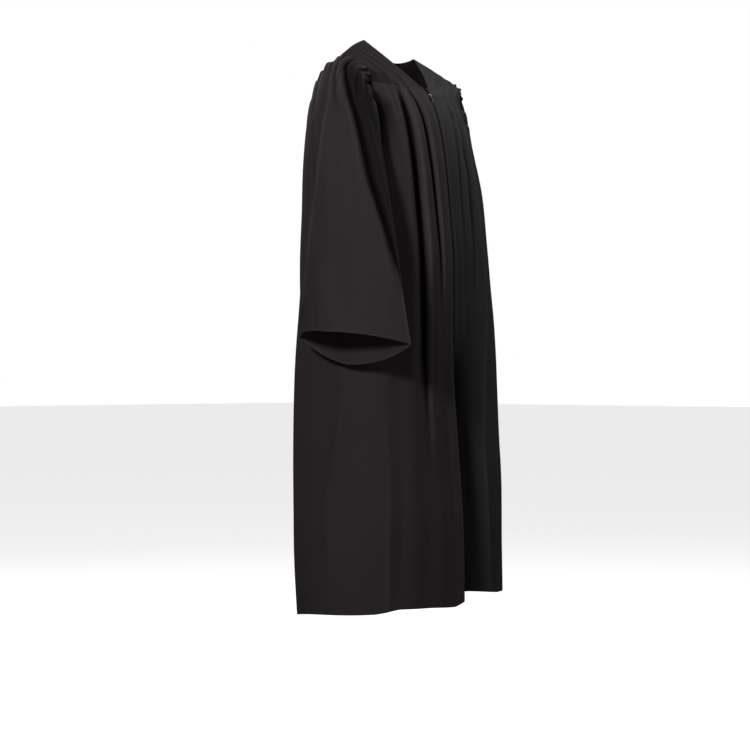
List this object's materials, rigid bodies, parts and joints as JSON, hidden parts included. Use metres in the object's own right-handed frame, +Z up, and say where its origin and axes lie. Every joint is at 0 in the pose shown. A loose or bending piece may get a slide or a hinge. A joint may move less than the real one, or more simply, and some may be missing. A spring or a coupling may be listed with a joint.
{
  "type": "graduation gown",
  "caption": "Long black academic gown, worn, with wide bell sleeves, a V neck, gathered yoke, pleated fronts and a front zip with a hinged pull tab",
  "frame": {"origin": "midway between the two neck-side shoulder points, where the shoulders hold the gown up", "axes": "+Z up, the gown's length; the front faces -Y; the wearer's right side is -X"},
  "size_m": [0.5577, 0.4158, 1.1649],
  "materials": {
    "yoke_front_right": "matte",
    "yoke_front_left": "matte",
    "yoke_back": "matte",
    "front_right": "matte",
    "front_left": "matte",
    "back": "matte",
    "sleeve_right": "matte",
    "sleeve_left": "matte",
    "zip_tape_right": "matte",
    "zip_tape_left": "matte",
    "zip_chain": "matte",
    "zip_slider": "satin",
    "zip_pull": "gloss"
  },
  "bodies": {
    "gown": {"yoke_front_right": "yoke_front_right", "yoke_front_left": "yoke_front_left", "yoke_back": "yoke_back", "front_right": "front_right", "front_left": "front_left", "back": "back", "sleeve_right": "sleeve_right", "sleeve_left": "sleeve_left", "zip_tape_right": "zip_tape_right", "zip_tape_left": "zip_tape_left", "zip_chain": "zip_chain", "zip_slider": "zip_slider"},
    "pull_tab": {"zip_pull": "zip_pull"}
  },
  "joints": [
    {"name": "pull_tab_hinge", "type": "hinge", "parent": "gown", "child": "pull_tab", "pos_m": [0, -0.08687, -0.1073], "axis": [-1, 0, 0], "range_deg": [0, 165]}
  ]
}
